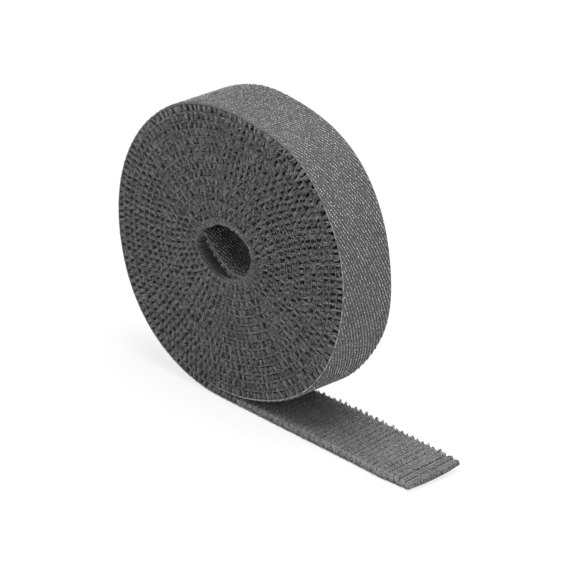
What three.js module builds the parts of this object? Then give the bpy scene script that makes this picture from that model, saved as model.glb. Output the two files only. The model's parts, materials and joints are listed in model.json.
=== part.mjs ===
import * as THREE from 'three';

// A roll of back to back hook and loop tape, stood on its rim with its free end on the table.
// The tape is two strips laid together: a moulded hook strip outside, a napped loop strip inside.
// X runs along the free end, Y across the tape and Z up. The origin is under the roll's axis.

// Sizes of the tape, in millimetres
const tapeWidth = 20;
const hookStripThickness = 0.6;
const loopStripThickness = 0.65;
const stripGap = 0.3;
const tapeThickness = hookStripThickness + stripGap + loopStripThickness;
const loopStripDepth = hookStripThickness + stripGap;

// Sizes of the winding: the roll is measured to the middle of a facet, the hole at the last turn
const rollRadius = 44;
const holeRadius = 8.3;
const leastMeanTurnGap = 0.65;

// Two strips keep this gap where the tape bends, and where one stretch ends and the next starts
const hingeGap = 0.3;

// The free end: how far it reaches from under the axis, and the stretches of it that bend up
const freeEndReach = 72;
const tailStretchLength = 14;
const tailStretchCount = 3;

// The unrolled part of the outer turn: one hinge at each of these corners of the winding
const unrollHingeCount = 4;

// The winding is drawn with flat facets. The fold of the inner end lies some facets past a whole turn.
const facetsPerTurn = 24;
const foldFacetsPastTurn = 6;

// The hole sits towards the fold and is wider than it is high
const holeShiftShare = 0.24;
const holeStretchShare = 0.17;

// The folded inner end: the tape turns back inside the hole and crosses it as a flap with a tip
const foldLead = 1.5;
const foldCoreRadius = 0.65;
const foldRadius = tapeThickness + foldCoreRadius;
const foldFacets = 5;
const flapStartHeading = THREE.MathUtils.degToRad(-49);
const flapEndHeading = THREE.MathUtils.degToRad(-37);
const tipEndHeading = THREE.MathUtils.degToRad(32);
const flapLengthShare = 1.16;
const tipLengthShare = 0.88;
const flapFacets = 3;

// Colours and finish of the two strips
const hookColour = 0x676767;
const loopColour = 0x4c4c4c;
const hookRoughness = 0.55;
const loopRoughness = 0.95;

// Worked out from the sizes above
const facetAngle = (2 * Math.PI) / facetsPerTurn;
const halfFacet = facetAngle / 2;
const windingDepth = rollRadius - holeRadius - tapeThickness;
const turnsPastWhole = foldFacetsPastTurn / facetsPerTurn;
const wholeTurns = Math.floor(windingDepth / (tapeThickness + leastMeanTurnGap) - turnsPastWhole);
const turnPitch = windingDepth / (wholeTurns + turnsPastWhole);
const windingFacets = wholeTurns * facetsPerTurn + foldFacetsPastTurn;
const holeShift = holeShiftShare * holeRadius;
const holeStretch = holeStretchShare * holeRadius;

// A corner of the hook strip's outer face. Corner 0 is the left end of the facet on the table, and
// the count runs up the left side and over the top. The turns drift and flatten towards the hole.
function windingCorner(count) {
  const angle = halfFacet + count * facetAngle;
  const inwardShare = count / windingFacets;
  const radius = (rollRadius - turnPitch * (count / facetsPerTurn)) / Math.cos(halfFacet);
  const across = radius + inwardShare * holeStretch;
  const upright = radius - inwardShare * holeStretch;
  return new THREE.Vector2(
    -across * Math.sin(angle) - inwardShare * holeShift,
    rollRadius - upright * Math.cos(angle),
  );
}

// Heading of the step from one point to the next, in radians from +X
function headingOf(from, to) {
  return to.clone().sub(from).angle();
}

// Points that follow a start point along a bend from one heading to another, in flat facets
function bendPoints(start, startHeading, endHeading, length, facets) {
  const points = [];
  let point = start;
  for (let facet = 0; facet < facets; facet += 1) {
    const facing = THREE.MathUtils.lerp(startHeading, endHeading, (facet + 0.5) / facets);
    const step = new THREE.Vector2(Math.cos(facing), Math.sin(facing));
    point = point.clone().addScaledVector(step, length / facets);
    points.push(point);
  }
  return points;
}

// The hook face of the whole tape as one path, from the free end to the tip inside the hole
const tapePath = [];
for (let stretch = 0; stretch <= tailStretchCount; stretch += 1) {
  tapePath.push(new THREE.Vector2(freeEndReach - stretch * tailStretchLength, 0));
}
const firstCorner = tapePath.length;
for (let count = 0; count <= windingFacets; count += 1) {
  tapePath.push(windingCorner(count));
}
const leadHeading = headingOf(windingCorner(windingFacets), windingCorner(windingFacets + 1));
const leadStep = new THREE.Vector2(Math.cos(leadHeading), Math.sin(leadHeading));
tapePath.push(tapePath.at(-1).clone().addScaledVector(leadStep, foldLead));
const foldLength = foldRadius * (leadHeading - flapStartHeading);
tapePath.push(...bendPoints(tapePath.at(-1), leadHeading, flapStartHeading, foldLength, foldFacets));
const flapStart = tapePath.length - 1;
const flapLength = flapLengthShare * holeRadius;
tapePath.push(...bendPoints(tapePath.at(-1), flapStartHeading, flapEndHeading, flapLength, flapFacets));
const tipStart = tapePath.length - 1;
const tipLength = tipLengthShare * holeRadius;
tapePath.push(...bendPoints(tapePath.at(-1), flapEndHeading, tipEndHeading, tipLength, flapFacets));
const tapeEnd = tapePath.length - 1;

// The path moved sideways, towards the loop side, with mitred corners
function pathAtDepth(depth) {
  return tapePath.map((point, index) => {
    const before = tapePath[Math.max(index - 1, 0)];
    const after = tapePath[Math.min(index + 1, tapeEnd)];
    const headingIn = index === 0 ? headingOf(point, after) : headingOf(before, point);
    const headingOut = index === tapeEnd ? headingIn : headingOf(point, after);
    const inward = new THREE.Vector2(Math.sin(headingIn), -Math.cos(headingIn));
    inward.add(new THREE.Vector2(Math.sin(headingOut), -Math.cos(headingOut)));
    return point.clone().addScaledVector(inward, (2 * depth) / inward.lengthSq());
  });
}

// Part of a path, cut back at the ends that face another stretch
function cutPath(path, first, last) {
  const points = path.slice(first, last + 1).map((point) => point.clone());
  const startStep = points[1].clone().sub(points[0]).normalize();
  const endStep = points.at(-2).clone().sub(points.at(-1)).normalize();
  if (first > 0) {
    points[0].addScaledVector(startStep, hingeGap / 2);
  }
  if (last < tapeEnd) {
    points.at(-1).addScaledVector(endStep, hingeGap / 2);
  }
  return points;
}

// The outline of one strip between two depths, drawn out to the tape's width
function stripMesh(name, outerPoints, innerPoints, colour, roughness) {
  const outline = new THREE.Shape([...outerPoints, ...innerPoints.toReversed()]);
  const geometry = new THREE.ExtrudeGeometry(outline, { depth: tapeWidth, bevelEnabled: false });
  geometry.rotateX(Math.PI / 2);
  geometry.translate(0, tapeWidth / 2, 0);
  const material = new THREE.MeshStandardMaterial({ color: colour, roughness, metalness: 0 });
  const mesh = new THREE.Mesh(geometry, material);
  mesh.name = name;
  return mesh;
}

const hookOuterPath = pathAtDepth(0);
const hookInnerPath = pathAtDepth(hookStripThickness);
const loopOuterPath = pathAtDepth(loopStripDepth);
const loopInnerPath = pathAtDepth(tapeThickness);

// The hook strip and the loop strip of one stretch, each a solid of its own
function tapeStretch(name, first, last) {
  const stretch = new THREE.Group();
  const hookOuter = cutPath(hookOuterPath, first, last);
  const hookInner = cutPath(hookInnerPath, first, last);
  const loopOuter = cutPath(loopOuterPath, first, last);
  const loopInner = cutPath(loopInnerPath, first, last);
  stretch.add(stripMesh(`hook_${name}`, hookOuter, hookInner, hookColour, hookRoughness));
  stretch.add(stripMesh(`loop_${name}`, loopOuter, loopInner, loopColour, loopRoughness));
  return stretch;
}

const roll = new THREE.Group();
for (let stretch = 0; stretch < tailStretchCount; stretch += 1) {
  const place = tailStretchCount - 1 - stretch;
  roll.add(tapeStretch(`tail_stretch_${stretch + 1}`, place, place + 1));
}
roll.add(tapeStretch('floor_stretch', tailStretchCount, firstCorner));
for (let stretch = 1; stretch < unrollHingeCount; stretch += 1) {
  roll.add(tapeStretch(`unroll_stretch_${stretch}`, firstCorner + stretch - 1, firstCorner + stretch));
}
const windingStart = firstCorner + unrollHingeCount - 1;
roll.add(tapeStretch('winding', windingStart, flapStart));
roll.add(tapeStretch('inner_flap', flapStart, tipStart));
roll.add(tapeStretch('inner_tip', tipStart, tapeEnd));

// Least distance from a strip's inner face to an outer face one turn further in. It is taken on
// points along every facet, each against the few facets that lie below it.
function leastGapToItself(outerPath, innerPath) {
  const samplesPerFacet = 6;
  const facetsEachSide = 2;
  const facet = new THREE.Line3();
  const sample = new THREE.Vector3();
  const nearest = new THREE.Vector3();
  const asPoint = (point) => new THREE.Vector3(point.x, 0, point.y);
  let least = Infinity;
  for (let index = windingStart; index < flapStart - facetsPerTurn; index += 1) {
    for (let part = 0; part < samplesPerFacet; part += 1) {
      sample.lerpVectors(asPoint(innerPath[index]), asPoint(innerPath[index + 1]), part / samplesPerFacet);
      const nextTurn = index + facetsPerTurn;
      const lastOther = Math.min(nextTurn + facetsEachSide, flapStart - 1);
      for (let other = nextTurn - facetsEachSide; other <= lastOther; other += 1) {
        facet.set(asPoint(outerPath[other]), asPoint(outerPath[other + 1]));
        facet.closestPointToPoint(sample, true, nearest);
        least = Math.min(least, nearest.distanceTo(sample));
      }
    }
  }
  return least;
}

const millimetres = (value) => value.toFixed(3);
console.log(`turns ${wholeTurns + turnsPastWhole}, pitch ${millimetres(turnPitch)}`);
const hookGap = leastGapToItself(hookOuterPath, hookInnerPath);
const loopGap = leastGapToItself(loopOuterPath, loopInnerPath);
const turnGap = leastGapToItself(hookOuterPath, loopInnerPath);
console.log(`least gap of the hook winding to itself ${millimetres(hookGap)}`);
console.log(`least gap of the loop winding to itself ${millimetres(loopGap)}`);
console.log(`least gap from loops to the next turn's hooks ${millimetres(turnGap)}`);

// Where each hinge lies and how far it can turn before the tape lies straight
function printHinge(name, path, index) {
  const point = path[index];
  const headingIn = headingOf(tapePath[index - 1], tapePath[index]);
  const headingOut = headingOf(tapePath[index], tapePath[index + 1]);
  const bend = THREE.MathUtils.radToDeg(headingIn - headingOut).toFixed(2);
  console.log(`${name} at x ${millimetres(point.x)}, z ${millimetres(point.y)}, bend ${bend}`);
}
for (let stretch = 1; stretch <= tailStretchCount; stretch += 1) {
  printHinge(`tail_bend_${stretch}`, loopInnerPath, tailStretchCount + 1 - stretch);
}
for (let hinge = 1; hinge <= unrollHingeCount; hinge += 1) {
  printHinge(`unroll_${hinge}`, hookOuterPath, firstCorner + hinge - 1);
}
printHinge('fold_swing', hookOuterPath, flapStart);
printHinge('tip_bend', hookOuterPath, tipStart);

export default roll;
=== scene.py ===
# %% [markdown]
# # A roll of hook and loop tape
#
# The object is a back to back fastening tape. One side is a moulded film with rows of small hooks,
# the other a knitted ground with brushed loops. It is wound with the hooks out and the loops in.
# Such a roll has no round parts to model. It is one long strip, so this lesson makes the tape lying
# flat, with every hook and loop on it, and then winds the finished tape along its real path.

import json
import math
import random

import bmesh
import bpy
import numpy as np
from mathutils import Matrix, Vector, noise

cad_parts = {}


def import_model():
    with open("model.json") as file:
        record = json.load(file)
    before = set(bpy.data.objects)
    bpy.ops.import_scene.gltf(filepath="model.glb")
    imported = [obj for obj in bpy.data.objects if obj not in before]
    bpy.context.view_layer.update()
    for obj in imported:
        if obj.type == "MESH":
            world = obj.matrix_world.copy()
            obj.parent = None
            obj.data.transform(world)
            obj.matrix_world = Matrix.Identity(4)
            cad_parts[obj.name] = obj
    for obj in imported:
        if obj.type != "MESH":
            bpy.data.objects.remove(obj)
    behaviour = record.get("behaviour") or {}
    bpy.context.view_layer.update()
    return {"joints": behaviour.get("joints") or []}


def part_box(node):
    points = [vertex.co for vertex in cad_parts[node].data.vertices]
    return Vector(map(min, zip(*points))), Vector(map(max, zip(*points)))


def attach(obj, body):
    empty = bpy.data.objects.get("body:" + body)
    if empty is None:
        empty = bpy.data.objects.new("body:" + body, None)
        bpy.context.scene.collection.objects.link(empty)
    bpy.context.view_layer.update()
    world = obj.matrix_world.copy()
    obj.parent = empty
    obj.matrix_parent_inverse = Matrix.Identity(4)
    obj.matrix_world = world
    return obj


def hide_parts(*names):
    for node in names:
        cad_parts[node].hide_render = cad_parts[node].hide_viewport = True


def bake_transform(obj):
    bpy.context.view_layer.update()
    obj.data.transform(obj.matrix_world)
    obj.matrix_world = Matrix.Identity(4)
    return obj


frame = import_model()
MM = 0.001
joints = {joint["name"]: joint for joint in frame["joints"]}

# %% [markdown]
# ## The camera
#
# The photograph looks down on the roll from the right with a long lens, so that the two edges of
# the rim look almost alike. The camera was fitted to those edges and to the free end. It stands on
# a line from a point inside the roll, given by its angles, and rolls a little about its own view.

# %% Place the camera
photo_pixels = 570
sensor_width = 36.0
camera_azimuth = math.radians(41.96)
camera_elevation = math.radians(25.93)
camera_roll = math.radians(4.39)
camera_distance = 3501 * MM
camera_target = Vector((12.04 * MM, 0, 36.26 * MM))
focal_pixels = 12734


def place_camera():
    back = Vector((
        math.sin(camera_azimuth) * math.cos(camera_elevation),
        -math.cos(camera_azimuth) * math.cos(camera_elevation),
        math.sin(camera_elevation),
    ))
    right = Vector((0, 0, 1)).cross(back).normalized()
    up = back.cross(right)
    turned_right = right * math.cos(camera_roll) + up * math.sin(camera_roll)
    turned_up = up * math.cos(camera_roll) - right * math.sin(camera_roll)
    camera = bpy.data.objects.new("camera", bpy.data.cameras.new("camera"))
    bpy.context.scene.collection.objects.link(camera)
    turn = Matrix((turned_right, turned_up, back)).transposed().to_4x4()
    camera.matrix_world = Matrix.Translation(camera_target + back * camera_distance) @ turn
    camera.data.sensor_width = sensor_width
    camera.data.lens = focal_pixels * sensor_width / photo_pixels
    bpy.context.scene.camera = camera
    return camera


camera = place_camera()
print("The lens is", round(camera.data.lens), "mm long")

# %% [markdown]
# ## The way the tape runs
#
# Seen from the front, the tape starts at its free end on the right, runs left along the table, and
# climbs the left side of the roll. It winds inwards for fifteen turns, turns back sharply inside
# the hole, and crosses the hole as a flap. The path below follows the tips of the hooks. It is a
# list of points half a millimetre apart, so that any distance along the tape can be looked up.
#
# The sizes are those of the solids. What the solids leave out is added to them: the roll is a
# little out of round, and its innermost turns sag towards the fold.

# %% Sizes of the tape and of the roll
tape_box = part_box("hook_floor_stretch")
tape_width = tape_box[1].y - tape_box[0].y
free_end_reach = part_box("hook_tail_stretch_3")[1].x
roll_radius = 44 * MM
hole_radius = 8.3 * MM
solid_tape_thickness = 1.55 * MM
turn_count = 15.25
turn_pitch = (roll_radius - hole_radius - solid_tape_thickness) / turn_count
facets_per_turn = 24
first_turn_share = 0.5 / facets_per_turn
hole_shift = 0.24 * hole_radius
hole_stretch = 0.17 * hole_radius

# Waves in one turn, then the share of the radius that follows their cosine and their sine
out_of_round = ((2, -0.0072, -0.0097), (3, 0.0051, 0.0029))

# The place of the sag and its width are shares of a turn
sag_depth = 1.3 * MM
sag_place = 0.375
sag_width = 0.06
fold_lead = 1.5 * MM
fold_radius = 2.2 * MM
flap_start_heading = math.radians(-45)
flap_end_heading = math.radians(-34)
tip_end_heading = math.radians(18)
flap_length = 1.16 * hole_radius
tip_length = 0.88 * hole_radius
path_step = 0.5 * MM
print("Turns are", round(turn_pitch / MM, 2), "mm apart")


# %% Draw the path
def roundness(angle):
    swings = [a * math.cos(waves * angle) + b * math.sin(waves * angle) for waves, a, b in out_of_round]
    return 1 + sum(swings)


axis_height = roll_radius * roundness(0)


def winding_point(turns):
    inward_share = max(turns - first_turn_share, 0) / turn_count
    angle = turns * 2 * math.pi
    radius = (roll_radius - turn_pitch * max(turns - first_turn_share, 0)) * roundness(angle)
    radius -= sag_depth * inward_share**4 * math.exp(-((turns % 1 - sag_place) / sag_width) ** 2)
    across = radius + inward_share * hole_stretch
    upright = radius - inward_share * hole_stretch
    x = -across * math.sin(angle) - inward_share * hole_shift
    return np.array((x, axis_height - upright * math.cos(angle)))


def bend(start, start_heading, end_heading, length):
    count = math.ceil(length / path_step)
    points = []
    for step in range(count):
        heading = start_heading + (end_heading - start_heading) * (step + 0.5) / count
        start = start + np.array((math.cos(heading), math.sin(heading))) * length / count
        points.append(start)
    return points


def tape_path():
    points = [np.array((x, 0.0)) for x in np.arange(free_end_reach, 0, -path_step)]
    turns_so_far = [0.0] * len(points)
    turns = 0.0
    last_turn = turn_count + first_turn_share
    while turns < last_turn:
        points.append(winding_point(turns))
        turns_so_far.append(turns)
        radius = roll_radius - turn_pitch * turns
        turns += path_step / (2 * math.pi * radius)
    points.append(winding_point(last_turn))
    leading = winding_point(last_turn + 2 * first_turn_share) - points[-1]
    lead_heading = math.atan2(leading[1], leading[0])
    fold_length = fold_radius * (lead_heading - flap_start_heading)
    points += bend(points[-1], lead_heading, lead_heading, fold_lead)
    points += bend(points[-1], lead_heading, flap_start_heading, fold_length)
    points += bend(points[-1], flap_start_heading, flap_end_heading, flap_length)
    points += bend(points[-1], flap_end_heading, tip_end_heading, tip_length)
    turns_so_far += [last_turn] * (len(points) - len(turns_so_far))
    return np.array(points), np.array(turns_so_far)


path_points, path_turns = tape_path()
path_steps = np.diff(path_points, axis=0)
path_distance = np.concatenate(([0], np.cumsum(np.hypot(*path_steps.T))))
step_headings = np.unwrap(np.arctan2(path_steps[:, 1], path_steps[:, 0]))
middle_headings = (step_headings[1:] + step_headings[:-1]) / 2
path_heading = np.concatenate((step_headings[:1], middle_headings, step_headings[-1:]))
tape_length = path_distance[-1]
print("The tape is", round(tape_length, 3), "m long, on", len(path_points), "points")

# %% [markdown]
# ## Winding
#
# On the flat tape, X is the distance from the free end, Y runs across and Z is the height above the
# tips of the hooks. Winding moves each vertex to its place beside the path. Each vertex also keeps
# its flat place in an attribute, in millimetres, so that a weave drawn on the flat tape follows the
# tape round the roll.
#
# A hand winds a roll unevenly, so its outer turns swell here and sink there, more at one edge of
# the tape than at the other. Two lists give that swelling for the front and the back edge, by the
# angle round the roll from the table. The soft pile takes it up, so it fades from turn to turn. The
# free end isn't quite flat or straight either. Its far edge lifts off the table, it drifts towards
# the front, and its cut end bulges.

# %% How the tape lies unevenly
# Lift and drift in mm, by the distance from the cut end in mm
tail_lift = ((0, 1.15), (6, 1.6), (14, 1.7), (45, 1.6), (52, 1.3), (60, 0.7), (72, 0))
tail_drift = (
    (0, -0.34), (4, -0.6), (10, -1.05), (16, -0.9), (22, -0.72), (31, -0.62),
    (46, -0.5), (62, -0.25), (76, 0),
)
end_bulge = 0.75 * MM
end_bulge_length = 8 * MM

# The whole tape wanders sideways in two waves. The second is shorter and starts elsewhere.
edge_wander = 0.14 * MM
wander_length = 90 * MM
second_wander = 2.7
second_wander_start = 1

# Swelling in mm, by the angle in degrees
front_swelling = (
    (0, 0), (42, 0.4), (80, -0.35), (142, 0.65), (181, -0.2), (212, 1.6),
    (238, 0.85), (272, 0.4), (311, 1.35), (345, 0.1), (360, 0),
)
back_swelling = (
    (0, 0), (145, 0), (166, 0.37), (183, 0), (212, 0.8), (257, -0.85),
    (292, 0.9), (316, 1.2), (345, 0.2), (360, 0),
)
swelling_fades_in = 2.0


def read_smoothly(table, value):
    places, sizes = np.array(table).T
    value = np.clip(value, places[0], places[-1])
    index = np.clip(np.searchsorted(places, value, side="right") - 1, 0, len(places) - 2)
    share = (value - places[index]) / (places[index + 1] - places[index])
    return sizes[index] + (sizes[index + 1] - sizes[index]) * share**2 * (3 - 2 * share)


def swelling(distance, side):
    turns = np.interp(distance, path_distance, path_turns)
    angle = turns % 1 * 360
    back_share = 0.5 - side / tape_width
    front = read_smoothly(front_swelling, angle)
    back = read_smoothly(back_swelling, angle)
    size = front * (1 - back_share) + back * back_share
    return size * MM * np.exp(-np.maximum(turns - 1, 0) / swelling_fades_in)


print("The outer turn swells by up to", max(size for _, size in front_swelling), "mm")


# %% Place a point beside the path
def place_on_tape(distance, side, height):
    x = np.interp(distance, path_distance, path_points[:, 0])
    z = np.interp(distance, path_distance, path_points[:, 1])
    heading = np.interp(distance, path_distance, path_heading)
    back_share = 0.5 - side / tape_width
    bulge = end_bulge * 4 * back_share * (1 - back_share) * np.clip(1 - distance / end_bulge_length, 0, 1)
    overrun = distance - np.clip(distance, 0, tape_length) - bulge
    height = height - swelling(distance, side)
    wave = distance / wander_length
    wander = np.sin(wave) + np.sin(wave * second_wander + second_wander_start)
    drift = edge_wander * wander / 2 + read_smoothly(tail_drift, distance / MM) * MM
    lift = read_smoothly(tail_lift, distance / MM) * MM * back_share
    return np.stack((
        x + np.cos(heading) * overrun + np.sin(heading) * height,
        drift - side,
        z + np.sin(heading) * overrun - np.cos(heading) * height + lift,
    ), axis=-1)


def path_place(distance, height=0.0):
    return Vector(place_on_tape(np.array(distance), np.array(0.0), np.array(height)))


def wind(mesh):
    flat = np.empty(len(mesh.vertices) * 3, dtype=np.float32)
    mesh.vertices.foreach_get("co", flat)
    places = mesh.attributes.new("flat_place", "FLOAT_VECTOR", "POINT")
    places.data.foreach_set("vector", flat / MM)
    wound = place_on_tape(*flat.reshape(-1, 3).T.astype(float))
    mesh.vertices.foreach_set("co", wound.astype(np.float32).ravel())
    mesh.update()


print("The middle of the cut end lies at", [round(value / MM, 2) for value in path_place(0.0)], "mm")


# %% Find a place along the tape
def distance_near(x, z):
    gaps = np.hypot(path_points[:, 0] - x, path_points[:, 1] - z)
    return float(path_distance[int(np.argmin(gaps))])


def distance_of(joint_name):
    x, _, z = joints[joint_name]["pos_m"]
    return distance_near(x, z)


def distance_at(turns):
    return distance_near(*winding_point(turns))


for name in joints:
    print(name, "lies", round(distance_of(name) / MM, 1), "mm from the free end")

# %% [markdown]
# ## Stretches
#
# The solids are short stretches with a hinge between each two. A real tape bends smoothly, so the
# tape is cut in the middle of the solids instead. The winding moves as one, and is only cut so that
# no piece holds too many faces.

# %% Cut the tape into stretches
stretch_names = {
    "tail_bend_3": "tail_end", "tail_bend_2": "tail_middle", "tail_bend_1": "tail_start",
    "unroll_1": "floor", "unroll_2": "rise_1", "unroll_3": "rise_2", "unroll_4": "rise_3",
}
winding_parts = 10
rise_length = 14 * MM
fold_reach = 5.8 * MM


def stretch_of(name, start, end, joint=None):
    return {"name": name, "start": start, "end": end, "joint": joint}


def cut_tape():
    spots = [distance_of(name) for name in stretch_names]
    cuts = [0.0] + [(a + b) / 2 for a, b in zip(spots, spots[1:])] + [spots[-1] + rise_length]
    found = []
    for (joint, name), start, end in zip(stretch_names.items(), cuts, cuts[1:]):
        found.append(stretch_of(name, start, end, joint))
    fold_spot = distance_of("fold_swing")
    tip_starts = (fold_spot + distance_of("tip_bend")) / 2
    fold_starts = fold_spot - fold_reach
    outer_end = free_end_reach + 2 * math.pi * roll_radius
    inner_cuts = np.linspace(outer_end, fold_starts, winding_parts - 1)
    winding_cuts = [cuts[-1], (cuts[-1] + outer_end) / 2, *inner_cuts]
    for part, (start, end) in enumerate(zip(winding_cuts, winding_cuts[1:]), 1):
        found.append(stretch_of(f"winding_{part}", start, end))
    found.append(stretch_of("fold", fold_starts, tip_starts, "fold_swing"))
    found.append(stretch_of("tip", tip_starts, tape_length, "tip_bend"))
    return found


def stretch_named(name):
    return next(stretch for stretch in stretches if stretch["name"] == name)


stretches = cut_tape()
for stretch in stretches:
    print(stretch["name"], "is", round((stretch["end"] - stretch["start"]) / MM, 1), "mm long")

# %% Attach a piece of the winding to the roll, and hide the solids of each stretch
solid_of = {
    "tail_end": "tail_stretch_3", "tail_middle": "tail_stretch_2", "tail_start": "tail_stretch_1",
    "floor": "floor_stretch", "rise_1": "unroll_stretch_1", "rise_2": "unroll_stretch_2",
    "rise_3": "unroll_stretch_3", "fold": "inner_flap", "tip": "inner_tip",
}


def nodes_of(stretch, strip):
    return [f"{strip}_{solid_of.get(stretch['name'], 'winding')}"]


def bind(piece, stretch, nodes):
    joint_name = stretch["joint"]
    if joint_name is None:
        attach(piece, "roll")
    else:
        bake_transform(piece)
    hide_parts(*nodes)


# %% [markdown]
# ## Strips
#
# Both strips start as a flat grid that is extruded to its thickness, which gives a closed sheet.
# The grid has a row of faces for each millimetre, because the winding can only bend it at a vertex.
# The small shapes that stand on a strip are made once as a mesh and stamped onto it many times.

# %% Make a strip
strip_step = 1.0 * MM


def only(kind, items):
    return [item for item in items if isinstance(item, kind)]


def push_out(mesh, faces, way):
    pushed = bmesh.ops.extrude_face_region(mesh, geom=faces)
    bmesh.ops.translate(mesh, verts=only(bmesh.types.BMVert, pushed["geom"]), vec=way)
    bmesh.ops.recalc_face_normals(mesh, faces=mesh.faces[:])


def add_strip(mesh, start, end, width, bottom, top, across=4):
    length = end - start
    along = max(2, round(length / strip_step))
    size = Matrix.Diagonal((length / 2, width / 2, 1, 1))
    place = Matrix.Translation(((start + end) / 2, 0, bottom)) @ size
    made = bmesh.ops.create_grid(mesh, x_segments=along, y_segments=across, size=1, matrix=place)
    faces = list(dict.fromkeys(face for vertex in made["verts"] for face in vertex.link_faces))
    push_out(mesh, faces, (0, 0, top - bottom))


def as_data(name, mesh):
    data = bpy.data.meshes.new(name)
    mesh.to_mesh(data)
    mesh.free()
    return data


def stamp(mesh, template, matrix):
    copy = template.copy()
    copy.transform(matrix)
    mesh.from_mesh(copy)
    bpy.data.meshes.remove(copy)


def finish_piece(name, mesh, material, shades, smooth=True):
    data = as_data(name, mesh)
    layer = data.attributes.new("strand_shade", "FLOAT", "POINT")
    layer.data.foreach_set("value", np.asarray(shades, dtype=np.float32))
    wind(data)
    data.polygons.foreach_set("use_smooth", [smooth] * len(data.polygons))
    data.materials.append(material)
    piece = bpy.data.objects.new(name, data)
    bpy.context.scene.collection.objects.link(piece)
    return piece


print("A strip has a row of faces every", strip_step / MM, "mm")


# %% [markdown]
# ## Finishes
#
# Some effects show on more than one part of the tape, so each is a node group that is built once:
# lint and mottling, the painted light line of the slit edges, and the rows of the knit. All of them
# read the flat place of a point, so that they follow the tape wherever it bends. A group only gives
# masks, shades and heights, and the shader stays in each material.

# %% Helpers for shader nodes
def wire(tree, value, socket):
    if isinstance(value, (int, float)):
        socket.default_value = value
    else:
        tree.links.new(value, socket)


def calculate(tree, operation, *values):
    node = tree.nodes.new("ShaderNodeMath")
    node.operation = operation
    for value, socket in zip(values, node.inputs):
        wire(tree, value, socket)
    return node.outputs["Value"]


def rescale(tree, value, low, high, new_low=0.0, new_high=1.0):
    node = tree.nodes.new("ShaderNodeMapRange")
    node.interpolation_type = "SMOOTHSTEP"
    wire(tree, value, node.inputs["Value"])
    wire(tree, low, node.inputs["From Min"])
    wire(tree, high, node.inputs["From Max"])
    wire(tree, new_low, node.inputs["To Min"])
    wire(tree, new_high, node.inputs["To Max"])
    return node.outputs["Result"]


def noise_of(tree, place, size, detail):
    node = tree.nodes.new("ShaderNodeTexNoise")
    wire(tree, place, node.inputs["Vector"])
    wire(tree, calculate(tree, "DIVIDE", 1.0, size), node.inputs["Scale"])
    node.inputs["Detail"].default_value = detail
    return node.outputs["Fac"]


def split(tree, place):
    node = tree.nodes.new("ShaderNodeSeparateXYZ")
    wire(tree, place, node.inputs["Vector"])
    return node.outputs


def attribute(tree, name, output):
    node = tree.nodes.new("ShaderNodeAttribute")
    node.attribute_name = name
    return node.outputs[output]


# %% Helpers for node groups
def new_group(name, numbers, results):
    group = bpy.data.node_groups.new(name, "ShaderNodeTree")
    group.interface.new_socket(name="Place", in_out="INPUT", socket_type="NodeSocketVector")
    for label, value in numbers.items():
        socket = group.interface.new_socket(name=label, in_out="INPUT", socket_type="NodeSocketFloat")
        socket.default_value = value
    for label in results:
        group.interface.new_socket(name=label, in_out="OUTPUT", socket_type="NodeSocketFloat")
    return group, group.nodes.new("NodeGroupInput").outputs, group.nodes.new("NodeGroupOutput").inputs


def use_group(tree, group, place, **numbers):
    node = tree.nodes.new("ShaderNodeGroup")
    node.node_tree = group
    wire(tree, place, node.inputs["Place"])
    for label, value in numbers.items():
        wire(tree, value, node.inputs[label])
    return node.outputs


# %% Lint and mottling
# The sizes of the patches and of the fibres are in mm, as all sizes in a shader here
def lint_group():
    numbers = {"Patch": 6.0, "Fibre": 0.5, "Strength": 0.2}
    group, given, results = new_group("lint", numbers, ("Shade", "Height"))
    patches = noise_of(group, given["Place"], given["Patch"], detail=2.0)
    fibres = noise_of(group, given["Place"], given["Fibre"], detail=4.0)
    swing = calculate(group, "SUBTRACT", calculate(group, "ADD", patches, fibres), 1.0)
    change = calculate(group, "MULTIPLY", swing, given["Strength"])
    wire(group, calculate(group, "MULTIPLY_ADD", change, 2.0, 1.0), results["Shade"])
    wire(group, fibres, results["Height"])
    return group


lint = lint_group()
print("The effect", lint.name, "has", len(lint.nodes), "nodes")

# %% Slit edges
# The painted light line of a slit edge is broken: it shows where a noise of this size passes the limits
break_size = 1.1
break_limits = (0.42, 0.56)
least_edge_highlight = 0.1


def slit_edge_group():
    group, given, results = new_group("slit_edge", {"Half": 10.0, "Depth": 0.2}, ("Mask",))
    side = calculate(group, "ABSOLUTE", split(group, given["Place"])["Y"])
    inner = calculate(group, "SUBTRACT", given["Half"], given["Depth"])
    near = rescale(group, side, inner, given["Half"])
    spots = noise_of(group, given["Place"], break_size, detail=2.0)
    breaks = rescale(group, spots, *break_limits, least_edge_highlight, 1.0)
    wire(group, calculate(group, "MULTIPLY", near, breaks), results["Mask"])
    return group


slit_edge = slit_edge_group()
print("The effect", slit_edge.name, "has", len(slit_edge.nodes), "nodes")


# %% Rows of the knit
def knit_group():
    group, given, results = new_group("knit", {"Course": 0.5, "Wale": 0.7}, ("Height",))
    place = split(group, given["Place"])
    waves = []
    for axis, label in (("X", "Course"), ("Y", "Wale")):
        turns = calculate(group, "DIVIDE", place[axis], given[label])
        wave = calculate(group, "SINE", calculate(group, "MULTIPLY", turns, math.pi))
        waves.append(calculate(group, "ABSOLUTE", wave))
    wire(group, calculate(group, "MULTIPLY", *waves), results["Height"])
    return group


knit = knit_group()
print("The effect", knit.name, "has", len(knit.nodes), "nodes")

# %% [markdown]
# ## The two materials of the tape
#
# The film is a satin plastic. The tops of its hooks carry a painted glint, a lighter colour that is
# strongest on the outer turn, and the slit edge of that turn a painted light line. On the folded flap
# the film is painted darker as shade, and the painted glints on its hook tips stand out more. The
# yarn is matt, with a little sheen from its fine fibres, and each strand has a shade of its own.

# %% Start a material
sheen = 0.12

# Heights of the lint between which the roughness goes from its least to its most
lint_limits = (0.3, 0.7)


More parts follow.
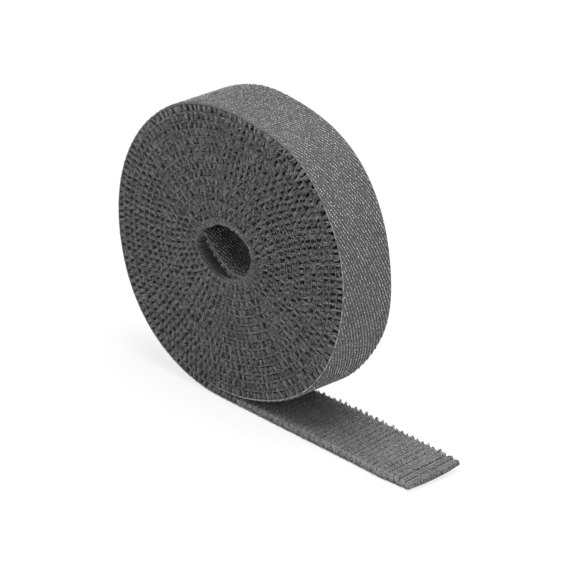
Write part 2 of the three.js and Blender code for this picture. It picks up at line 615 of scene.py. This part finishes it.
def new_material(name):
    material = bpy.data.materials.new(name)
    material.use_nodes = True
    return material, material.node_tree, material.node_tree.nodes["Principled BSDF"]


def add_bump(tree, shader, height, strength, depth):
    bump = tree.nodes.new("ShaderNodeBump")
    bump.inputs["Strength"].default_value = strength
    bump.inputs["Distance"].default_value = depth
    wire(tree, height, bump.inputs["Height"])
    wire(tree, bump.outputs["Normal"], shader.inputs["Normal"])


outer_turn_end = stretch_named("winding_2")["end"]
fold_begins = stretch_named("fold")["start"]
print("The outer turn ends", round(outer_turn_end / MM), "mm from the free end")

# %% Mix the film
hook_film_shade = 0.072
hook_glint_shade = 0.5
slit_highlight_shade = 0.22
slit_edge_depth = 0.12
film_roughness = (0.38, 0.55)

# Share of the painted glint that the hooks inside the roll keep, then in mm: depths of a hook's tip, and
# lengths of a change
inner_glint_share = 0.25
glint_depths = (0.2, 0.03)
outer_turn_fade = 12
flap_fade = (-2, 6)

# Painted light line of the slit edge: from one distance to another, in mm, it goes from one share to another
tail_edge_highlight = (150, 75, 0.15, 0.8)
rim_edge_highlight = (205, 240, 0.15, 1.0)
# On the flap: share of the painted edge light, added share of the painted glint on the tips, and share of
# the film's colour that its painted shade leaves
flap_edge_highlight = 0.4
flap_glint_share = 0.8
flap_shaded_film_share = 0.45


def edge_highlight(tree, place, outer, flap):
    edge = use_group(tree, slit_edge, place, Half=tape_width / MM / 2, Depth=slit_edge_depth)["Mask"]
    along = split(tree, place)["X"]
    tail = rescale(tree, along, *tail_edge_highlight)
    rim = rescale(tree, along, *rim_edge_highlight)
    edge_light = calculate(tree, "MULTIPLY", calculate(tree, "MAXIMUM", tail, rim), outer)
    return calculate(tree, "MULTIPLY", edge, calculate(tree, "MULTIPLY_ADD", flap, flap_edge_highlight, edge_light))


def hook_material():
    material, tree, shader = new_material("hook_film")
    place = attribute(tree, "flat_place", "Vector")
    mottle = use_group(tree, lint, place, Patch=7.0, Fibre=0.35, Strength=0.16)
    spot = split(tree, place)
    outer = rescale(tree, spot["X"], outer_turn_end / MM, outer_turn_end / MM - outer_turn_fade)
    flap = rescale(tree, spot["X"], *(fold_begins / MM + fade for fade in flap_fade))
    # The glint painted on the tips is full on the outer turn, weaker inside the roll and stronger on the
    # flap
    glint_strength = calculate(tree, "MULTIPLY_ADD", outer, 1.0 - inner_glint_share, inner_glint_share)
    glint_strength = calculate(tree, "MULTIPLY_ADD", flap, flap_glint_share, glint_strength)
    near_tip = rescale(tree, spot["Z"], *glint_depths)
    tip = calculate(tree, "MULTIPLY", near_tip, attribute(tree, "strand_shade", "Fac"))
    light = calculate(tree, "MULTIPLY", tip, hook_glint_shade - hook_film_shade)
    light = calculate(tree, "MULTIPLY", light, glint_strength)
    # A painted light line along the slit edge
    edge_light = calculate(tree, "MULTIPLY", edge_highlight(tree, place, outer, flap), slit_highlight_shade)
    # Painted shade darkens the film of the flap in the hole
    darker = hook_film_shade * (flap_shaded_film_share - 1)
    film = calculate(tree, "MULTIPLY_ADD", flap, darker, hook_film_shade)
    shade = calculate(tree, "ADD", calculate(tree, "ADD", light, edge_light), film)
    wire(tree, calculate(tree, "MULTIPLY", shade, mottle["Shade"]), shader.inputs["Base Color"])
    roughness = rescale(tree, mottle["Height"], *lint_limits, *film_roughness)
    wire(tree, roughness, shader.inputs["Roughness"])
    shader.inputs["Sheen Weight"].default_value = sheen
    add_bump(tree, shader, mottle["Height"], strength=0.25, depth=0.03 * MM)
    return material


hook_finish = hook_material()
print("The film", hook_finish.name, "has", len(hook_finish.node_tree.nodes), "nodes")

# %% Mix the yarns
course_length = 0.5
wale_width = 0.7
yarn_roughness = (0.8, 0.98)


def yarn_material(name, dark, light, knit_strength):
    material, tree, shader = new_material(name)
    place = attribute(tree, "flat_place", "Vector")
    fluff = use_group(tree, lint, place, Patch=5.0, Fibre=0.22, Strength=0.22)
    rows = use_group(tree, knit, place, Course=course_length, Wale=wale_width)["Height"]
    yarn = rescale(tree, attribute(tree, "strand_shade", "Fac"), 0.0, 1.0, dark, light)
    woven = calculate(tree, "MULTIPLY_ADD", rows, knit_strength, 1.0 - knit_strength / 2)
    shade = calculate(tree, "MULTIPLY", calculate(tree, "MULTIPLY", yarn, fluff["Shade"]), woven)
    wire(tree, shade, shader.inputs["Base Color"])
    roughness = rescale(tree, fluff["Height"], *lint_limits, *yarn_roughness)
    wire(tree, roughness, shader.inputs["Roughness"])
    shader.inputs["Sheen Weight"].default_value = sheen
    height = calculate(tree, "MULTIPLY_ADD", rows, knit_strength, fluff["Height"])
    add_bump(tree, shader, height, strength=0.5, depth=0.06 * MM)
    return material


# The ground's yarn is painted darker than the pile, as shade in the holes between the ribs
ground_finish = yarn_material("loop_ground", dark=0.04, light=0.07, knit_strength=0.3)
pile_finish = yarn_material("loop_pile", dark=0.09, light=0.30, knit_strength=0.1)
print("The yarns are", ground_finish.name, "and", pile_finish.name)

# %% [markdown]
# ## The hook strip
#
# The hooks are moulded in one with the film. Each is a short stem that bends over along the tape,
# and the top of the bend shows on the rim as a dot of light, a glint painted into the film's colour.
# The hooks stand in rows across the tape, and every other row is shifted by half a step. At each
# place stand two hooks that face opposite ways, so that the tape holds in both directions. A hook is
# a side profile, given as shares of its reach and height, pushed out to its width. Between the turns
# only the hooks at the edges are seen, so only those are made there, and one at each place is enough.

# %% Shape one hook
hook_height = 0.30 * MM
film_top = 0.68 * MM
hook_reach = 0.26 * MM
hook_width = 0.28 * MM
hook_profile_shares = (
    (-0.7, 0), (-0.65, 0.65), (-0.35, 1), (0.4, 1), (0.85, 0.75), (0.85, 0.4), (0.4, 0.5), (0.15, 0),
)
plain_profile_shares = ((-0.7, 0), (-0.5, 1), (0.5, 1), (0.85, 0.4), (0.15, 0))


def hook_shape(profile_shares):
    mesh = bmesh.new()
    corners = [
        mesh.verts.new((along * hook_reach, -hook_width / 2, (1 - up) * hook_height))
        for along, up in profile_shares
    ]
    side = bmesh.ops.contextual_create(mesh, geom=corners)["faces"]
    push_out(mesh, side, (0, hook_width, 0))
    return as_data("hook", mesh)


hook = hook_shape(hook_profile_shares)
plain_hook = hook_shape(plain_profile_shares)
print("One hook has", len(hook.polygons), "faces, a plain one", len(plain_hook.polygons))

# %% Set the hooks on the film
hook_row_pitch = 1.22 * MM
hook_pitch = 1.087 * MM
hooks_across = 18
twin_step = Vector((0.31, -0.1, 0)) * MM
hook_margin = (tape_width - (hooks_across - 0.5) * hook_pitch) / 2

# Scatter in mm and turn in radians. The power makes dim painted glints more common than bright ones.
scatter_along = 0.09
scatter_across = 0.07
hook_turn = 0.3
glint_shades = (0.1, 1)
glint_shade_power = 1.3
hook_random = random.Random(11)


def add_hooks(mesh, shades, start, end, edges_only):
    shape = plain_hook if edges_only else hook
    first = max(start, hook_reach)
    last = min(end, tape_length - hook_reach)
    for row in range(math.ceil(first / hook_row_pitch), math.ceil(last / hook_row_pitch)):
        for index in range(hooks_across):
            if edges_only and 0 < index < hooks_across - 1:
                continue
            side = hook_margin + (index + row % 2 / 2) * hook_pitch - tape_width / 2
            for twin in (1,) if edges_only else (-1, 1):
                angle = (twin > 0) * math.pi + hook_random.uniform(-hook_turn, hook_turn)
                place = Vector((row * hook_row_pitch, side, 0)) + twin * twin_step
                place.x += hook_random.gauss(0, scatter_along) * MM
                place.y += hook_random.gauss(0, scatter_across) * MM
                stamp(mesh, shape, Matrix.Translation(place) @ Matrix.Rotation(angle, 4, "Z"))
                # The random shade of a hook sets how bright the glint painted on its tip is
                shade = hook_random.uniform(*glint_shades) ** glint_shade_power
                shades.extend([shade] * len(shape.vertices))


def hook_strip(stretch):
    mesh = bmesh.new()
    add_strip(mesh, stretch["start"], stretch["end"], tape_width, hook_height, film_top)
    shades = [0.0] * len(mesh.verts)
    hidden = outer_turn_end - path_step < stretch["start"] < fold_begins
    add_hooks(mesh, shades, stretch["start"], stretch["end"], hidden)
    piece = finish_piece(f"hook_strip_{stretch['name']}", mesh, hook_finish, shades, smooth=False)
    bind(piece, stretch, nodes_of(stretch, "hook"))
    return piece


for stretch in stretches:
    piece = hook_strip(stretch)
    print(piece.name, "has", len(piece.data.polygons), "faces")

# %% [markdown]
# ## The knitted ground
#
# The loops stand on a thin knitted ground. It is cloth, and ends a little inside the film, whose
# edge therefore shows. A strip like the film is enough for it, because the pile hides most of it.

# %% Make the ground
ground_top = 0.96 * MM
ground_inset = 0.25 * MM
ground_width = tape_width - 2 * ground_inset
ground_shade = 0.5


def ground_strip(stretch):
    mesh = bmesh.new()
    add_strip(mesh, stretch["start"], stretch["end"], ground_width, film_top, ground_top)
    shades = [ground_shade] * len(mesh.verts)
    piece = finish_piece(f"loop_ground_{stretch['name']}", mesh, ground_finish, shades)
    bind(piece, stretch, nodes_of(stretch, "loop"))
    return piece


grounds = {stretch["name"]: ground_strip(stretch) for stretch in stretches}
print("Made", len(grounds), "stretches of ground")

# %% [markdown]
# ## The loops
#
# The loops stand in ribs across the tape, one every two millimetres. Between the ribs lies a narrow
# valley, which shows at the tape's edge as a row of dark holes. A loop is a thin yarn that rises,
# turns over and goes down again. It is made once in a few forms, by spinning a small ring, and a
# noise kinks it as brushing does. The packed yarn inside a rib is a plain round bar.

# %% Shape the loops
rib_pitch = 2.0 * MM
loop_height = 1.0 * MM
loop_forms = 8
loop_spans = (0.3, 0.7)
loop_twists = (-0.3, 0.3)
strand_radius = 0.09 * MM
strand_sides = 3
crest_steps = 3

# The kinks: how many there are in a mm, how far they push a strand, and how much of it upwards
kinks = 1.6
kink_size = 0.2
kink_upwards = 0.5
kink_range = 50
loop_random = random.Random(5)

# Without a seed of its own this noise takes one from the clock, and no two runs would be alike
kink_seed = 5
noise.seed_set(kink_seed)


def kink(mesh):
    offset = Vector((loop_random.uniform(0, kink_range), 0, 0))
    for vertex in mesh.verts:
        push = noise.noise_vector(vertex.co / MM * kinks + offset)
        vertex.co += Vector((push.x, push.y, push.z * kink_upwards)) * kink_size * MM


def loop_shape(span, twist):
    mesh = bmesh.new()
    ring = bmesh.ops.create_circle(mesh, cap_ends=False, segments=strand_sides, radius=strand_radius)
    bmesh.ops.translate(mesh, verts=ring["verts"], vec=(span / 2, -twist / 2, 0))
    leg = loop_height - span / 2
    risen = bmesh.ops.extrude_edge_only(mesh, edges=mesh.edges[:])["geom"]
    top = only(bmesh.types.BMVert, risen)
    bmesh.ops.translate(mesh, verts=top, vec=(0, 0, leg))
    edges = [edge for edge in only(bmesh.types.BMEdge, risen) if all(vertex in top for vertex in edge.verts)]
    turned = bmesh.ops.spin(
        mesh, geom=top + edges, cent=(0, 0, leg), axis=(0, 1, 0), dvec=(0, twist / crest_steps, 0),
        angle=-math.pi, steps=crest_steps, use_merge=False,
    )["geom_last"]
    fallen = bmesh.ops.extrude_edge_only(mesh, edges=only(bmesh.types.BMEdge, turned))["geom"]
    bmesh.ops.translate(mesh, verts=only(bmesh.types.BMVert, fallen), vec=(0, 0, -leg))
    bmesh.ops.holes_fill(mesh, edges=mesh.edges[:], sides=0)
    bmesh.ops.recalc_face_normals(mesh, faces=mesh.faces[:])
    kink(mesh)
    return as_data("loop", mesh)


loop_shapes = [
    loop_shape(loop_random.uniform(*loop_spans) * MM, loop_random.uniform(*loop_twists) * MM)
    for _ in range(loop_forms)
]
print("One loop has", len(loop_shapes[0].polygons), "faces")

# %% Shape the packed middle of a rib
# The bar is one unit wide, long and high. It is wider at its foot, and its ends are a little domed.
rib_sides = 8
rib_end_inset = 0.16
rib_end_radius = 0.45
rib_end_dome = 1.035
rib_foot_width = 1.05
rib_taper = 0.25


def rib_shape():
    mesh = bmesh.new()
    turn = Matrix.Rotation(math.pi / 2, 4, "X")
    bmesh.ops.create_cone(
        mesh, cap_ends=True, cap_tris=False, segments=rib_sides, radius1=0.5, radius2=0.5, depth=1,
        matrix=turn,
    )
    ends = [face for face in mesh.faces if len(face.verts) == rib_sides]
    bmesh.ops.inset_region(mesh, faces=ends, thickness=rib_end_inset, depth=0)
    for vertex in mesh.verts:
        if math.hypot(vertex.co.x, vertex.co.z) < rib_end_radius:
            vertex.co.y *= rib_end_dome
        vertex.co.x *= rib_foot_width - rib_taper * (vertex.co.z + 0.5)
    bmesh.ops.recalc_face_normals(mesh, faces=mesh.faces[:])
    return as_data("rib", mesh)


rib = rib_shape()
print("The middle of a rib has", len(rib.polygons), "faces")

# %% [markdown]
# ## How the pile stands
#
# On the free end the pile stands up freely. Its tufts come to a point at the back edge and are
# rounded at the front, and its cut end is lower. The part of the outer turn that can be unrolled is
# filled with loops too, because its ribs show then. Between the turns the pile is pressed flat and
# grips the hooks of the next turn, and only its edges are seen. Round the hole nothing presses it,
# so it swells, closes the valleys and ends in an even edge. In the fold it is crushed. One list
# holds these heights, and another the zones with what stands on each rib.

# %% Heights of the pile
end_height = 2.05 * MM
free_height = 2.7 * MM
pressed_height = 2.5 * MM
wall_height = 1.3 * MM
folded_height = 1.85 * MM
flap_height = 2.4 * MM
flap_starts = distance_of("fold_swing")
fold_bends = flap_starts - fold_radius * math.pi
pile_profile = (
    (0.0, end_height), (2.2 * MM, 2.3 * MM), (4.8 * MM, free_height),
    (free_end_reach - 9 * MM, free_height), (free_end_reach - 3 * MM, pressed_height),
    (distance_at(13.5), pressed_height), (distance_at(13.62), 2.8 * MM), (distance_at(13.95), 2.8 * MM),
    (distance_at(14.05), pressed_height), (distance_at(14.3), pressed_height),
    (distance_at(14.38), 2.7 * MM), (distance_at(14.44), 2.7 * MM),
    (distance_at(14.5), 2.45 * MM), (distance_at(14.62), 2.4 * MM), (distance_at(14.75), 3.0 * MM),
    (distance_at(14.8), 2.9 * MM), (distance_at(14.88), 2.3 * MM), (distance_at(15.06), wall_height),
    (fold_bends - 3 * MM, wall_height), (fold_bends - 1 * MM, folded_height),
    (flap_starts, folded_height), (flap_starts + 2 * MM, flap_height),
)


def slack(distance, side):
    return float(swelling(distance, side) - swelling(distance, side) * math.exp(-1 / swelling_fades_in))


def pile_height(distance):
    return float(np.interp(distance, *zip(*pile_profile)))


print("The pile is", round(pile_height(free_end_reach / 2) / MM, 2), "mm high on the free end")

# %% Zones of the pile
# What stands on one rib: fill counts the loops between the edges, tuft those at each edge. A tuft
# spreads over so many mm to each side, leans over the edge by so many radians, gathers towards its
# middle, comes to a point, and is taller or rounded as given. Bridges lie over a valley and creepers
# along the face. Core and valley are the bars: inset in mm, share of the height, and shade.
# The shades of yarn and bars also stand for painted light and shade: the front edge of the free end is
# painted lighter, its cut end and the pile round the hole darker, and the valley bars and the loose pile by
# the flap darkest, where shade falls.
free = dict(
    fill=170, tuft=16, tall=1.14, lean=(-0.3, 0.1), spread=0.8, gather=1.1, point=0.8, shades=(0.3, 0.86),
    bridges=0, creepers=0, core=(0.6, 0.82, 0.4), valley=(0.8, 0.79, 0.4),
    # The front edge of the free end gets lighter yarn as painted light
    front=dict(
        tuft=30, tall=1.0, rounded=0.45, lean=(0.1, 0.5), spread=0.95, gather=0.3, point=0.1,
        shades=(0.7, 1.1),
    ),
)
# The cut end gets darker yarn as painted shade, as it catches more light than the rest of the free end
cut_end = dict(
    free, tuft=22, tall=1.0, lean=(-0.1, 0.1), spread=1.0, gather=0.3, point=0.1, shades=(0.1, 0.7),
    valley=(0.8, 0.8, 0.4),
)
under_roll = dict(
    fill=60, tuft=7, lean=(-0.1, 0.3), spread=0.6, gather=0.4, point=0.2, shades=(0.2, 1),
    bridges=1, creepers=1, core=(0.5, 0.84, 0.3), valley=(0.6, 0.6, 0.1),
)
outer_turn = dict(
    fill=0, tuft=7, lean=(-0.2, 0.2), spread=0.45, gather=0.2, point=0.1, shades=(0.2, 1),
    bridges=2, creepers=0, core=(0.5, 0.84, 0.3), valley=(1.3, 0.25, 0.0),
)
unrolled = dict(outer_turn, fill=80, valley=(1.3, 0.74, 0.1))
wound = dict(outer_turn, tuft=6, lean=(-0.1, 0.35), creepers=3)
half_closed = dict(wound, creepers=4, valley=(0.8, 0.6, 0.1))
# Round the hole the yarn and bars are painted darker as shade
closed = dict(
    fill=45, tuft=14, lean=(-0.05, 0.2), spread=1.0, gather=0.0, point=0.0, shades=(0.1, 0.8),
    bridges=0, creepers=5, core=(0.2, 0.95, 0.25), valley=(0.25, 0.93, 0.15),
)
hole_edge = dict(closed, tuft=17, spread=1.05, shades=(0.2, 0.9), creepers=6)
# The loose pile lies in the dark crescent by the flap, so its yarn and bars are painted darkest as shade
loose = dict(
    fill=40, tuft=10, lean=(-0.1, 0.2), spread=0.9, gather=0.3, point=0.2, shades=(0.0, 0.3),
    bridges=0, creepers=2, core=(0.6, 0.84, 0.0), valley=(0.9, 0.5, 0.0),
)

# Where each zone ends
winding_starts = stretch_named("winding_1")["start"]
pile_zones = (
    (4 * MM, cut_end), (free_end_reach - 6 * MM, free), (free_end_reach + 6 * MM, under_roll),
    (winding_starts, unrolled), (outer_turn_end, outer_turn),
    (distance_at(13.6), wound), (distance_at(14.0), half_closed), (distance_at(14.28), wound),
    (distance_at(14.65), hole_edge), (distance_at(15.0), closed), (tape_length + 2 * MM, loose),
)


def zone_at(distance):
    return next(zone for ends_at, zone in pile_zones if distance < ends_at)


print("The pile has", len(pile_zones), "zones")

# %% [markdown]
# ## Setting the loops
#
# A brushed pile looks random, yet it takes few moves: a loop is picked, turned, swayed, stretched
# to its height and stamped. Most loops go to the edges, because these are what the face of the
# roll shows. The middle of a rib gets them only where it is seen, and bars stand in elsewhere.

# %% Set one loop
# Turn and sway are in radians. The foot of a loop is sunk into the ground.
loop_turn = 0.6
loop_sway = 0.14
yarn_shades = (0.2, 1)
root_depth = 0.1 * MM
pile_random = random.Random(3)


def add_loop(
    mesh, shades, distance, side, rise, offset, lean, gather,
    sway=loop_sway, shade=yarn_shades, root=ground_top,
):
    shape = pile_random.choice(loop_shapes)
    turn = Matrix.Rotation(pile_random.gauss(0, loop_turn), 4, "Z")
    crest = Matrix.Rotation(-gather * offset / rise + pile_random.gauss(0, sway), 4, "Y")
    size = Matrix.Diagonal((1, 1, rise / loop_height, 1))
    place = Matrix.Translation((distance + offset, side, root - root_depth))
    stamp(mesh, shape, place @ Matrix.Rotation(lean, 4, "X") @ crest @ turn @ size)
    shades.extend([pile_random.uniform(*shade)] * len(shape.vertices))


print("A loop starts", round((ground_top - root_depth) / MM, 2), "mm above the tips of the hooks")


# %% Set a tuft at an edge
# Depths, and the offset and height of a creeper, are in mm, and leans in radians. The other heights
# are shares of the pile's, and the other offset a share of the tuft's spread.
tuft_depths = (0.04, 0.9)
tuft_heights = (0.94, 1.03)
tuft_leans_to = 1.1
bridge_depth = 0.06
bridge_offset = 0.8
bridge_leans = (0.06, 0.16)
bridge_heights = (1.05, 1.35)
bridge_sway = 0.35
creeper_depth = 0.12
creeper_offset = 1
creeper_leans = (1.2, 2.3)
creeper_heights = (0.5, 0.85)
creeper_gather = 0.2


def add_tuft(mesh, shades, distance, edge, rise, here):
    if edge > 0:
        here = {**here, **here.get("front", {})}
    spread = here["spread"] * MM
    rise *= here.get("tall", 1.0)
    for _ in range(here["tuft"]):
        depth = pile_random.uniform(*tuft_depths)
        offset = pile_random.uniform(-spread, spread)
        lean = -edge * pile_random.uniform(*here["lean"]) * (tuft_leans_to - depth)
        height = rise * pile_random.uniform(*tuft_heights) * (1 - here["point"] * abs(offset) / spread)
        height *= 1 - here.get("rounded", 0.0) * (1 - depth)
        side = edge * (tape_width / 2 - depth * MM)
        add_loop(mesh, shades, distance, side, height, offset, lean, here["gather"], shade=here["shades"])
    for _ in range(here["bridges"]):
        offset = pile_random.uniform(-bridge_offset, bridge_offset) * spread
        lean = -edge * pile_random.uniform(*bridge_leans)
        height = rise * pile_random.uniform(*bridge_heights)
        side = edge * (tape_width / 2 - bridge_depth * MM)
        add_loop(mesh, shades, distance, side, height, offset, lean, 0.0, sway=bridge_sway)
    for _ in range(here["creepers"]):
        offset = pile_random.uniform(-creeper_offset, creeper_offset) * MM
        lean = -edge * pile_random.uniform(*creeper_leans)
        height = pile_random.uniform(*creeper_heights) * MM
        side = edge * (tape_width / 2 - creeper_depth * MM)
        add_loop(mesh, shades, distance, side, height, offset, lean, creeper_gather)


print("Most loops at an edge stand in the outer", tuft_depths[1], "mm")


# %% Set a rib on the ground
# The scatter of a rib is in mm, and that of its loops a share of the distance between ribs
core_width = 1.0 * MM
rib_heights = (0.97, 1.03)
rib_scatter = 0.07
fill_margin = 1.2 * MM
fill_scatter = 0.27
fill_heights = (0.85, 1.04)
fill_gather = 0.5
slack_filled = 0.75


def add_core(mesh, shades, distance, rise, inset, share, shade):
    height = rise * share
    place = Matrix.Translation((distance, 0, ground_top + height / 2 - root_depth))
    size = Matrix.Diagonal((core_width, tape_width - 2 * inset * MM, height + 2 * root_depth, 1))
    stamp(mesh, rib, place @ size)
    shades.extend([shade] * len(rib.vertices))


def add_rib(mesh, shades, distance):
    here = zone_at(distance)
    rise = pile_height(distance) * pile_random.uniform(*rib_heights) - ground_top
    distance += pile_random.gauss(0, rib_scatter) * MM
    add_core(mesh, shades, distance, rise, *here["core"])
    add_core(mesh, shades, distance + rib_pitch / 2, rise, *here["valley"])
    for index in range(here["fill"]):
        across = (index + pile_random.uniform(0, 1)) / here["fill"] - 0.5
        side = (tape_width - 2 * fill_margin) * across
        offset = pile_random.gauss(0, fill_scatter) * rib_pitch
        height = rise * pile_random.uniform(*fill_heights)
        add_loop(mesh, shades, distance, side, height, offset, 0.0, fill_gather, shade=here["shades"])
    for edge in (-1, 1):
        swollen = rise + slack_filled * slack(distance, edge * tape_width / 2)
        add_tuft(mesh, shades, distance, edge, swollen, here)


print("The ribs stand", round(rib_pitch / MM, 1), "mm apart")


# %% [markdown]
# ## The cut end and the inside of the roll
#
# The cut end shows the ends of many strands, so a fringe of loops stands on it. Deep between the
# turns no loop is ever seen, so a plain filling takes the place of thousands of them. It touches
# the next turn and keeps light from shining through the roll.

# %% Fringe and filling
fringe_strands = 170
fringe_root = 0.78 * MM
fringe_heights = (0.8, 1.0)
# Like the cut end, the fringe gets darker yarn as painted shade
fringe_shades = (0.1, 0.7)
filling_inset = 4.5 * MM
filling_overlap = 0.1 * MM
filling_ends = distance_at(14.32)


def add_end_fringe(mesh, shades):
    for index in range(fringe_strands):
        side = tape_width * ((index + pile_random.uniform(0, 1)) / fringe_strands - 0.5)
        height = (end_height - fringe_root) * pile_random.uniform(*fringe_heights)
        add_loop(mesh, shades, 0.0, side, height, 0.0, 0.0, 0.0, shade=fringe_shades, root=fringe_root)


def add_filling(mesh, shades, start, end):
    start, end = max(start, winding_starts), min(end, filling_ends)
    if end - start > strip_step:
        add_strip(mesh, start, end, tape_width - 2 * filling_inset, ground_top, pressed_height, across=1)
        for vertex in mesh.verts:
            if vertex.co.z > ground_top + filling_overlap:
                vertex.co.z = pile_height(vertex.co.x) + filling_overlap + slack(vertex.co.x, vertex.co.y)
        shades.extend([0.0] * len(mesh.verts))


print("The filling is", round((tape_width - 2 * filling_inset) / MM, 1), "mm wide")

# %% Make the pile
first_rib = 0.5 * MM


def pile(stretch):
    mesh = bmesh.new()
    shades = []
    add_filling(mesh, shades, stretch["start"], stretch["end"])
    first = math.ceil((stretch["start"] - first_rib) / rib_pitch)
    last = math.ceil((stretch["end"] - first_rib) / rib_pitch)
    for index in range(first, last):
        add_rib(mesh, shades, index * rib_pitch + first_rib)
    if stretch["start"] == 0:
        add_end_fringe(mesh, shades)
    piece = finish_piece(f"loop_pile_{stretch['name']}", mesh, pile_finish, shades)
    bind(piece, stretch, nodes_of(stretch, "loop"))
    return piece


piles = {stretch["name"]: pile(stretch) for stretch in stretches}
for name, piece in piles.items():
    print(piece.name, "has", sum(len(face.vertices) - 2 for face in piece.data.polygons), "triangles")

# %% [markdown]
# ## The ground as cloth
#
# A knitted ground keeps its length however the tape lies. The winding lays each stretch of it on
# the film and folds it inside the hole, so nothing has to be simulated.

for stretch in stretches:
    name = stretch["name"]
print("Declared", len(stretches), "sheets,", round(ground_width / MM, 1), "mm wide")

# %% [markdown]
# ## Floor, world and lights
#
# The roll stands on a white table in soft light. A floor that is bright enough to look white would
# throw too much light on the object, so what the camera sees and what lights the scene are kept
# apart: to rays from the camera, and to those that a gloss or a glass sends on, the floor and the
# world glow white, and the floor keeps a part of its own shading for the shadow. A wide lamp above
# lights the pile and the rim, and a weak one at the right keeps the rim from going dark.

# %% Make the floor
floor_size = 6.0
floor_colour = (0.88, 0.88, 0.88, 1)
floor_glow = 0.8


def mix_by_ray(tree, output_type, lit, seen, share):
    rays = tree.nodes.new("ShaderNodeLightPath").outputs
    clear = calculate(tree, "MAXIMUM", rays["Is Camera Ray"], rays["Is Glossy Ray"])
    clear = calculate(tree, "MAXIMUM", clear, rays["Is Transmission Ray"])
    mix = tree.nodes.new("ShaderNodeMixShader")
    wire(tree, calculate(tree, "MULTIPLY", clear, share), mix.inputs["Fac"])
    wire(tree, lit, mix.inputs[1])
    wire(tree, seen, mix.inputs[2])
    wire(tree, mix.outputs["Shader"], tree.nodes.new(output_type).inputs["Surface"])


def floor():
    mesh = bmesh.new()
    bmesh.ops.create_grid(mesh, x_segments=1, y_segments=1, size=floor_size)
    piece = bpy.data.objects.new("floor", as_data("floor", mesh))
    bpy.context.scene.collection.objects.link(piece)
    material = bpy.data.materials.new("white_floor")
    material.use_nodes = True
    nodes = material.node_tree.nodes
    nodes.clear()
    diffuse = nodes.new("ShaderNodeBsdfDiffuse")
    diffuse.inputs["Color"].default_value = floor_colour
    glow = nodes.new("ShaderNodeEmission").outputs["Emission"]
    mix_by_ray(material.node_tree, "ShaderNodeOutputMaterial", diffuse.outputs["BSDF"], glow, floor_glow)
    piece.data.materials.append(material)


floor()
print("The floor reaches", floor_size, "m each way")

# %% Light the scene
world_strength = 0.55
white = (1, 1, 1, 1)


def world():
    studio = bpy.data.worlds.new("studio")
    studio.use_nodes = True
    bpy.context.scene.world = studio
    nodes = studio.node_tree.nodes
    nodes.clear()
    lit = nodes.new("ShaderNodeBackground")
    seen = nodes.new("ShaderNodeBackground")
    lit.inputs["Color"].default_value = white
    seen.inputs["Color"].default_value = white
    lit.inputs["Strength"].default_value = world_strength
    lit_light, seen_light = lit.outputs["Background"], seen.outputs["Background"]
    mix_by_ray(studio.node_tree, "ShaderNodeOutputWorld", lit_light, seen_light, 1.0)


def lamp(name, place, size, power):
    light = bpy.data.lights.new(name, "AREA")
    light.shape = "DISK"
    light.size = size
    light.energy = power
    piece = bpy.data.objects.new(name, light)
    piece.location = place
    piece.rotation_euler = (-Vector(place)).to_track_quat("-Z", "Y").to_euler()
    bpy.context.scene.collection.objects.link(piece)


world()
lamp("top_light", place=(0.02, 0.04, 0.9), size=0.8, power=9.5)
lamp("right_light", place=(1.0, -0.15, 0.5), size=0.9, power=1.3)
bpy.context.scene.view_settings.view_transform = "Standard"
print("Lamps:", ", ".join(light.name for light in bpy.data.lights))
